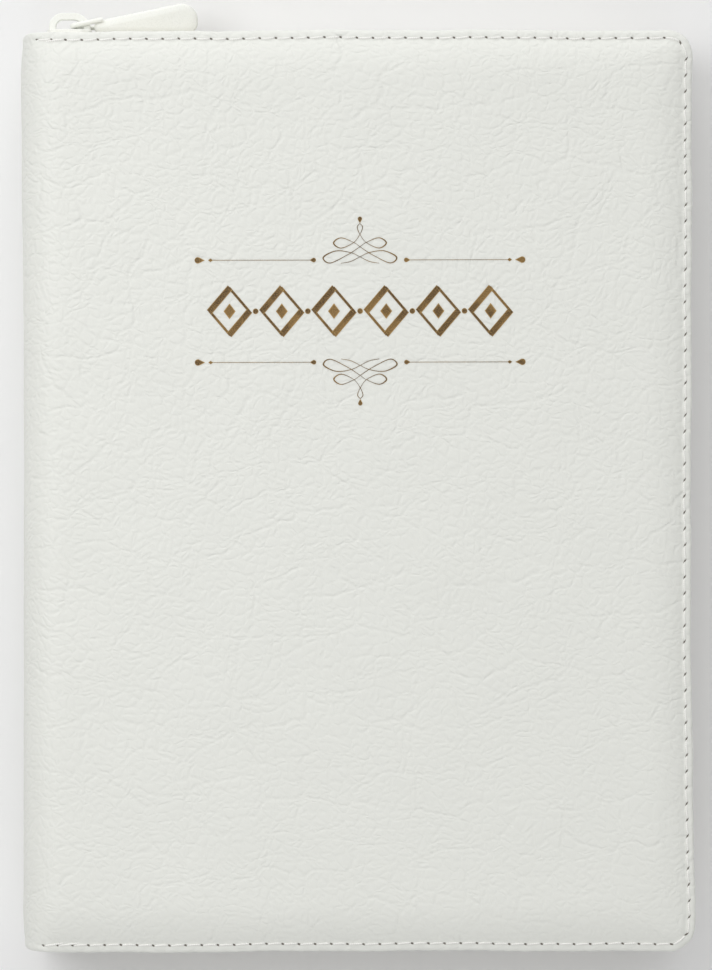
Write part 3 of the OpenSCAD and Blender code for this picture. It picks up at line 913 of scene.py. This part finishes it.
def stamping():
    build = Build()
    line = curve_through(STRAND)
    rule = np.array([(x, RULE_Y, RULE_W) for x in np.linspace(RULE_FROM, RULE_TO, 12)])
    beads = (drop_shape(43.5, RULE_Y, 0.85, -1.9), diamond(40.1, RULE_Y, 1.3, 0.95),
             drop_shape(12.4, RULE_Y, 0.6, 1.1))
    for up in (1, -1):
        for side in (1, -1):
            stroke(build, line * (side, up, 1))
            for bead in beads:
                blot(build, np.array(bead) * (side, up))
            stroke(build, rule * (side, up, 1))
        blot(build, [(x, up * y) for y, x in drop_shape(24.75, 0, 0.58, -1.2)])
    for x in np.arange(-2.5, 3) * LOZENGE_PITCH:
        lozenge(build, x)
    turn = np.linspace(0, tau, 24, endpoint=False)
    for x in np.arange(-2, 3) * LOZENGE_PITCH:
        blot(build, [(x + DOT_R * cos(a), DOT_R * sin(a)) for a in turn])
    return build


foil_front = stamping().piece("foil_front", foil)
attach(foil_front, "front_cover")


# Zip: tapes, teeth, slider and pull

(TAPE_X, _, TAPE_Z), (_, _, FLANGE_Z) = box_mm("front_tape")
TAPE_T, TAPE_STEP = 0.6, 1.5  # thickness, and mesh step along it
TAPE_TUCK, TUCK_L = 2.2, 8  # dip of its ends under the roll of the spine, and its length


def tape():
    """A woven tape: sewn under the lip, then bowed down to the chain."""
    build = Build()
    flange, drop, bow = FLANGE_Z, FLANGE_Z - 1.7, TAPE_Z + 5
    t = np.linspace(0, 1, 9)
    outer = [(5.8, flange), (3.0, flange), (1.25, flange), (1.0, flange - 0.3)]
    outer += [(1 - smooth(v), drop + (bow - drop) * v) for v in t] + [(0, TAPE_Z + 2), (0, TAPE_Z)]
    inner = [(TAPE_T, TAPE_Z), (TAPE_T, TAPE_Z + 2)]
    inner += [(1 - smooth(v) + TAPE_T, drop + (bow - drop) * v) for v in t[::-1]]
    inner += [(1.0 + TAPE_T, flange - TAPE_T), (3.0, flange - TAPE_T), (5.8, flange - TAPE_T)]
    profile = outer + inner
    rows, rest = [], []
    run = length_along(*ring(0, TAPE_X, step=TAPE_STEP)[:2])
    height = length_along(*np.array(profile).T)
    for (d, z), v in zip(profile, height):
        x, y, _, _ = ring(d, TAPE_X, step=TAPE_STEP)
        tucked = TAPE_TUCK * smooth((TAPE_X + TUCK_L - x) / TUCK_L) * smooth((z - bow) / (drop - bow))
        rows.append(stack(x, y, z - tucked))
        rest.append(stack(run, v, 0.0))
    n, cols = len(profile), len(run)
    ends = [tuple(range(0, n * cols, cols)), tuple(range(cols - 1, n * cols, cols))[::-1]]
    build.add(rows, grid_faces(n, cols, close_rows=True) + ends, rest)
    return build


CHAIN_D, CHAIN_STEP = 0.3, 0.4  # the chain's inset, and the step along its line
TOOTH_PITCH = 3.0
TOOTH_T = 2.2
TOOTH_EDGE, TOOTH_FACE = 0.22, 0.72  # rounded edge, and share of the outline left inside it
TOOTH_MIDDLE = (0, 1.95)
TEETH_Z = box_mm("front_teeth")[1][2]
CHAIN_X = box_mm("slider_body")[1][0] + 1.5  # first tooth, at the head
TAIL_X = box_mm("front_stops")[1][0] + 1.5  # last tooth, at the tail
# Half of one tooth's outline: along the tape, and down from its base
TOOTH = [(0.45, 0.0), (0.75, 0.25), (0.75, 1.2), (0.45, 1.9),
         (0.42, 2.6), (0.6, 3.05), (0.6, 3.55), (0.35, 3.9)]


def teeth(shift):
    """Moulded teeth along the front chain, shifted along it for the other side."""
    build = Build()
    x, y, nx, ny = ring(CHAIN_D, TAIL_X, step=CHAIN_STEP)
    s = length_along(x, y) - (CHAIN_X - TAIL_X)
    outline = np.array(TOOTH + [(-a, b) for a, b in TOOTH[::-1]])
    middle = np.array(TOOTH_MIDDLE)
    half = TOOTH_T / 2
    layers = [(-half, TOOTH_FACE), (TOOTH_EDGE - half, 1.0), (half - TOOTH_EDGE, 1.0), (half, TOOTH_FACE)]
    faces = bar_faces(len(layers), len(outline))
    for at in np.arange(shift, s[-1] + 0.01, TOOTH_PITCH):
        px, py, ox, oy = (np.interp(at, s, v) for v in (x, y, nx, ny))
        size = hypot(ox, oy)
        out, along = np.array([ox, oy]) / size, np.array([oy, -ox]) / size
        points = []
        for o, scale in layers:
            shape = middle + (outline - middle) * scale
            xy = np.array([px, py]) + out * o + along * shape[:, :1]
            points.append(stack(*xy.T, TEETH_Z - shape[:, 1]))
        build.add(points, faces)
    return build


def zip_pair(name, front, back, material, sharp):
    """Both halves of the zip; the back one is built in front and turned over."""
    back.turn_over()
    for side, build in (("front", front), ("back", back)):
        piece = build.piece(f"{name}_{side}", material, sharp=sharp)
        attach(piece, side + "_cover")
        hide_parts(f"{side}_{name}")


zip_pair("tape", tape(), tape(), tape_cloth, 50)
zip_pair("teeth", teeth(0.0), teeth(TOOTH_PITCH / 2), plastic, 35)

PULL_L = 34.2
PULL_ROLL, PULL_OUT = radians(10), radians(3.5)
# Circles that round the paddle's outline: x, y and radius
FAR_UP, FAR_LOW = (PULL_L - 4.4, -0.05, 4.4), (PULL_L - 3.2, -0.85, 3.2)
PULL_TIP = (7.7, -0.7, 1.9)
CIRCLE_STEPS, LEAST_R = 14, 0.05
EYE_R, EYE_Z, EYE_END = 0.7, 2.1, 8.4
# Rounded edge and a slightly dished face: inset and height
PULL_EDGE = [(0, 0), (0.05, 0.5), (0.18, 0.86), (0.4, 1.07), (0.7, 1.19),
             (1.1, 1.31), (1.5, 1.42), (1.8, 1.47), (2.1, 1.48)]


def tangent(far, tip, side):
    """Angle square to the line that touches two circles, above (side 1) or below (side -1)."""
    x, y = far[0] - tip[0], side * (far[1] - tip[1])
    turn = degrees(atan2(y, x) + acos((tip[2] - far[2]) / hypot(x, y)))
    return turn if side > 0 else 360 - turn


def pull_outline(inset):
    """The paddle's outline, drawn in by inset."""
    upper, lower = tangent(FAR_UP, PULL_TIP, 1), tangent(FAR_LOW, PULL_TIP, -1)
    points = []
    for (x, y, r), a0, a1 in ((FAR_UP, 0, upper), (PULL_TIP, upper, lower), (FAR_LOW, lower, 360)):
        left = max(r - inset, LEAST_R)
        for a in np.radians(np.linspace(a0, a1, CIRCLE_STEPS)):
            points.append((x + left * cos(a), y + left * sin(a)))
    return np.array(points)


def turn_x(a):
    return np.array([(1, 0, 0), (0, cos(a), -sin(a)), (0, sin(a), cos(a))])


def turn_z(a):
    return np.array([(cos(a), -sin(a), 0), (sin(a), cos(a), 0), (0, 0, 1)])


def pull():
    """The paddle and the wire eye that hangs it on the bridge."""
    paddle = Build()
    upper = [stack(*pull_outline(inset).T, h) for inset, h in PULL_EDGE]
    loops = [p * (1, 1, -1) for p in upper[:0:-1]] + upper
    shape = joined(*loops)
    swing = next(j for j in frame["record"]["behaviour"]["joints"] if j["name"] == "pull_swing")
    pivot = np.array(swing["pos_m"]) / MM
    turned = shape @ (turn_z(PULL_OUT) @ turn_x(PULL_ROLL)).T
    paddle.add(turned + pivot, bar_faces(len(loops), len(loops[0])), shape)
    ends = np.array([(EYE_END, 1.2, 1.55), (0, 0, EYE_Z), (0, 0, -EYE_Z), (EYE_END, -0.7, -EYE_Z)])
    wire = rounded(ends, 1.1) @ turn_z(PULL_OUT).T + pivot
    paddle.add(*tube(wire, (0, 1, 0), EYE_R, 12))
    return paddle


def rounded(corners, r):
    """A line through corners with each inner corner rounded."""
    out = [corners[0]]
    for before, at, after in zip(corners, corners[1:], corners[2:]):
        a = at + (before - at) * r / np.linalg.norm(before - at)
        b = at + (after - at) * r / np.linalg.norm(after - at)
        out += [a * (1 - t) ** 2 + at * 2 * t * (1 - t) + b * t**2 for t in np.linspace(0, 1, 8)]
    return np.array(out + [corners[-1]])


pull_piece = pull().piece("pull_paddle", enamel, sharp=60)
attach(pull_piece, "pull")
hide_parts("pull_tab")


# Text block: two halves, with their backing and bands

GUTTER_R = 3.5
BAND_GAP = 1.4  # the bands of the two halves end this far from the middle opening
PAGE_CORNER = 5.0


def page_half():
    """The front half: gilt sides in layers, and a rounded gutter at the middle."""
    build = Build()
    z = joined(FRONT_TOP - (FRONT_TOP - FRONT_LOW - GUTTER_R) * np.linspace(0, 1, 15),
               FRONT_LOW + GUTTER_R * (1 - np.sin(np.linspace(0, pi / 2, 9)[1:])))
    arc = np.radians(np.linspace(0, 90, 8))
    cx, cy = PAGE_X1 - PAGE_CORNER, PAGE_Y - PAGE_CORNER
    corner = stack(cx + PAGE_CORNER * np.cos(arc), cy + PAGE_CORNER * np.sin(arc))
    rows = []
    for level in z:
        near = max(0.0, FRONT_LOW + GUTTER_R - level)
        left = PAGE_X0 + GUTTER_R - sqrt(max(0.0, GUTTER_R**2 - near**2))
        top = [(x, PAGE_Y) for x in np.linspace(cx, left, 24)[1:]]
        back = [(left, v) for v in np.linspace(PAGE_Y, -PAGE_Y, 30)[1:-1]]
        upper = list(map(tuple, corner)) + top
        loop = upper + back + [(x, -v) for x, v in upper[::-1]]
        rows.append(stack(*np.array(loop).T, level))
    n = len(rows[0])
    faces = grid_faces(len(rows), n, close_cols=True, flip=True)
    back_columns = range(len(upper) - 1, len(upper) + len(back))
    build.add(rows, faces, slot=[2 if i % n in back_columns else 1 for i in range(len(faces))])
    build.add(rows[0], [tuple(range(n))])
    build.add(rows[-1], [tuple(range(n))[::-1]])
    return build


def layered(outline, z0, z1, levels=16):
    """A thin strip standing on outline, in layers."""
    x, y = np.asarray(outline, float).T
    rows = [stack(x, y, z) for z in np.linspace(z0, z1, levels)]
    return rows, bar_faces(levels, len(x))


def binding():
    """Backing cloth and the two bands of the front half."""
    mull, bands = Build(), Build()
    lo, hi = box_mm("front_mull")
    ys = np.linspace(lo[1], hi[1], 60)
    outline = [(hi[0], y) for y in ys] + [(lo[0], y) for y in ys[::-1]]
    mull.add(*layered(outline, lo[2], hi[2]))
    lo, hi = box_mm("front_head_band")
    lo[2] += BAND_GAP
    r = 0.8
    turn = np.linspace(-0.5 * pi, 1.2 * pi, 14)
    roll = [(PAGE_X0 + 0.1 + r * cos(a), hi[1] - r + r * sin(a)) for a in turn]
    strip = [(lo[0] + 0.2, hi[1] - r), (lo[0], lo[1]), (lo[0] + 0.8, lo[1])]
    for side in (1, -1):
        shape = np.array(roll + strip) * (1, side)
        bands.add(*layered(shape if side > 0 else shape[::-1], lo[2], hi[2]))
    return mull, bands


front_half = ("front_cover", "gathering_6", (0, 0, FRONT_TOP), (0, 0, FRONT_LOW))
rear_half = ("back_cover", "gathering_7", (0, 0, REAR_LOW), (0, 0, REAR_TOP))
mull, bands = binding()
for build, name, materials, slot, front_nodes, rear_nodes in (
    (page_half(), "pages", (paper, gilt, page_folds), "paper",
     [f"section_{i}" for i in range(1, 7)], [f"section_{i}" for i in range(7, 13)]),
    (mull, "mull", (mull_cloth,), "mull", ["front_mull"], ["back_mull"]),
    (bands, "bands", (band,), "band",
     ["front_head_band", "front_tail_band"], ["back_head_band", "back_tail_band"]),
):
    for side, half, nodes in (("front_", front_half, front_nodes), ("rear_", rear_half, rear_nodes)):
        piece = build.piece(side + name, *materials, sharp=40)
        bend(piece, *half)
        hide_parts(*nodes)
        build.turn_over()

RIBBON_ROWS, RIBBON_COLS = 60, 7


def ribbon(name, node, head_x, lean, tail_y, material):
    """A marker laid between the halves, running aslant to its tail."""
    lo, hi = box_mm(node)
    z = (lo[2] + hi[2]) / 2
    head = np.array([head_x, hi[1], z])
    tail = np.array([head_x + lean, tail_y, z])
    length = float(np.linalg.norm(tail - head))
    along = (tail - head) / length
    across = np.array([-along[1], along[0], 0])
    t = np.linspace(0, length, RIBBON_ROWS)
    side = np.linspace(-0.5, 0.5, RIBBON_COLS) * RIBBON_W
    wave = 0.05 * np.sin(tau * t / 43)[:, None] + 0.03 * np.cos(side / RIBBON_W * 5)[None]
    points = head + along * t[:, None, None] + across * side[None, :, None]
    points[..., 2] += wave
    build = Build()
    build.add(points, grid_faces(RIBBON_ROWS, RIBBON_COLS), stack(t[:, None], side[None], 0.0))
    made = build.piece(name, material)
    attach(made, "gathering_7")
    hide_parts(node)


LONG_X = PAGE_X0 + 8
SHORT_X = LONG_X + RIBBON_W + 1
ribbon("marker_long", "ribbon_long", LONG_X, 22.0, -PAGE_Y + 10, ribbon_red)
ribbon("marker_short", "ribbon_short", SHORT_X, 44.0, -PAGE_Y + 24, ribbon_gold)


# CAD nodes that show as they are


def dress(material, *nodes):
    for name in nodes:
        for each in frame["nodes"][name].material_slots:
            each.material = material


def soften(node, width):
    """Rounds the edges of a CAD node; its mesh stays as it is."""
    obj = frame["nodes"][node]
    weld = obj.modifiers.new("weld", "WELD")
    weld.merge_threshold = 1e-6
    flat = obj.modifiers.new("flat", "DECIMATE")
    flat.decimate_type = "DISSOLVE"
    flat.angle_limit = radians(1)
    round_off = obj.modifiers.new("round", "BEVEL")
    round_off.width, round_off.segments = width * MM, 3
    round_off.limit_method, round_off.angle_limit = "ANGLE", radians(30)
    round_off.use_clamp_overlap = round_off.harden_normals = True


dress(lining, "front_lining", "back_lining")
dress(end_paper, "front_flyleaf", "back_flyleaf")
dress(spine_cloth, "spine_cloth")
dress(enamel_cad, "slider_body", "slider_bridge", "front_stops", "back_stops")
for node, width in (("slider_body", 0.4), ("slider_bridge", 0.75), ("front_stops", 0.2), ("back_stops", 0.2)):
    soften(node, width)


# Floor, light and camera

FLOOR_HALF, FLOOR_Z = 9000.0, -0.2
# The room: its light, how much that leans towards one side, and which
ROOM, ROOM_LEAN, ROOM_SIDE = 0.34, 0.42, (0.08, 0.58, 0.81)
# Direction and glow of each low wall: head, tail, left and right
WALLS = (
    ((0.0, 0.97, 0.24), 1.65),
    ((0.0, -0.95, 0.3), 1.2),
    ((-0.97, 0.0, 0.24), -0.45),
    ((0.97, 0.0, 0.24), -0.36),
)
WALL_START = 0.75  # cosine at which a wall's glow starts
LEAST_LIGHT = 0.05
# The lamp, in metres and watts
KEY_AT, KEY_AIM, KEY_SIZE, KEY_POWER = (-0.40, 0.24, 0.70), (0.0, 0.0, 0.02), 0.5, 2.03


def floor():
    s = Shader("floor_paper", roughness=0.85)
    place = s.place()
    s.colour(s.noise(place, 0.004, 3.0), (240, 240, 240), (244, 244, 244))
    s.bump((s.noise(place, 0.6, 3.0), 0.02))
    corners = ((-1, -1), (1, -1), (1, 1), (-1, 1))
    points = [(x * FLOOR_HALF, y * FLOOR_HALF, FLOOR_Z) for x, y in corners]
    made = make_piece("floor", points, [(0, 1, 2, 3)], [s.material])


def lamp():
    light = bpy.data.lights.new("key", "AREA")
    light.shape, light.size, light.energy = "DISK", KEY_SIZE, KEY_POWER
    obj = bpy.data.objects.new("key", light)
    obj.location = KEY_AT
    obj.rotation_euler = (Vector(KEY_AIM) - Vector(KEY_AT)).to_track_quat("-Z", "Y").to_euler()
    bpy.context.scene.collection.objects.link(obj)


def world():
    """A plain room, lighter towards one side, with lighter and darker walls low down."""
    made = bpy.data.worlds.new("studio")
    made.use_nodes = True
    w = Nodes(made.node_tree)
    way = w.node("TexCoord", {}).outputs["Generated"]

    def light(side, start, lowest, highest, fade):
        """highest straight towards side, lowest where the cosine to it is start or less."""
        dot = {0: way, 1: Vector(side).normalized()}
        along = w.node("VectorMath", dot, operation="DOT_PRODUCT").outputs["Value"]
        inputs = {"Value": along, "From Min": start, "To Min": lowest, "To Max": highest}
        return w.node("MapRange", inputs, interpolation_type=fade).outputs["Result"]

    strength = light(ROOM_SIDE, -1.0, ROOM - ROOM_LEAN, ROOM + ROOM_LEAN, "LINEAR")
    for side, glow in WALLS:
        strength = w.plus(strength, light(side, WALL_START, 0.0, glow, "SMOOTHSTEP"))
    background = w.tree.nodes["Background"].inputs
    background["Color"].default_value = (1.0, 1.0, 1.0, 1.0)
    w.tree.links.new(w.math("MAXIMUM", strength, LEAST_LIGHT), background["Strength"])
    bpy.context.scene.world = made


PHOTO_SCALE = 0.2687  # mm to a pixel at the lip
PHOTO_H = 970
CAMERA_UP = 1100.0
SENSOR = 36.0
AIM_X, AIM_Y = -0.10, 1.67
CAMERA_ROLL = radians(-0.13)  # the book lies slightly turned in the photo


def camera():
    data = bpy.data.cameras.new("photo")
    data.sensor_width = SENSOR
    data.lens = SENSOR * CAMERA_UP / (PHOTO_H * PHOTO_SCALE)
    obj = bpy.data.objects.new("photo", data)
    obj.location = (AIM_X * MM, AIM_Y * MM, (BOOK_T - CROWN_H + CAMERA_UP) * MM)
    obj.rotation_euler.z = CAMERA_ROLL
    bpy.context.scene.collection.objects.link(obj)
    bpy.context.scene.camera = obj


floor()
lamp()
world()
camera()
bpy.context.scene.view_settings.view_transform = "Standard"
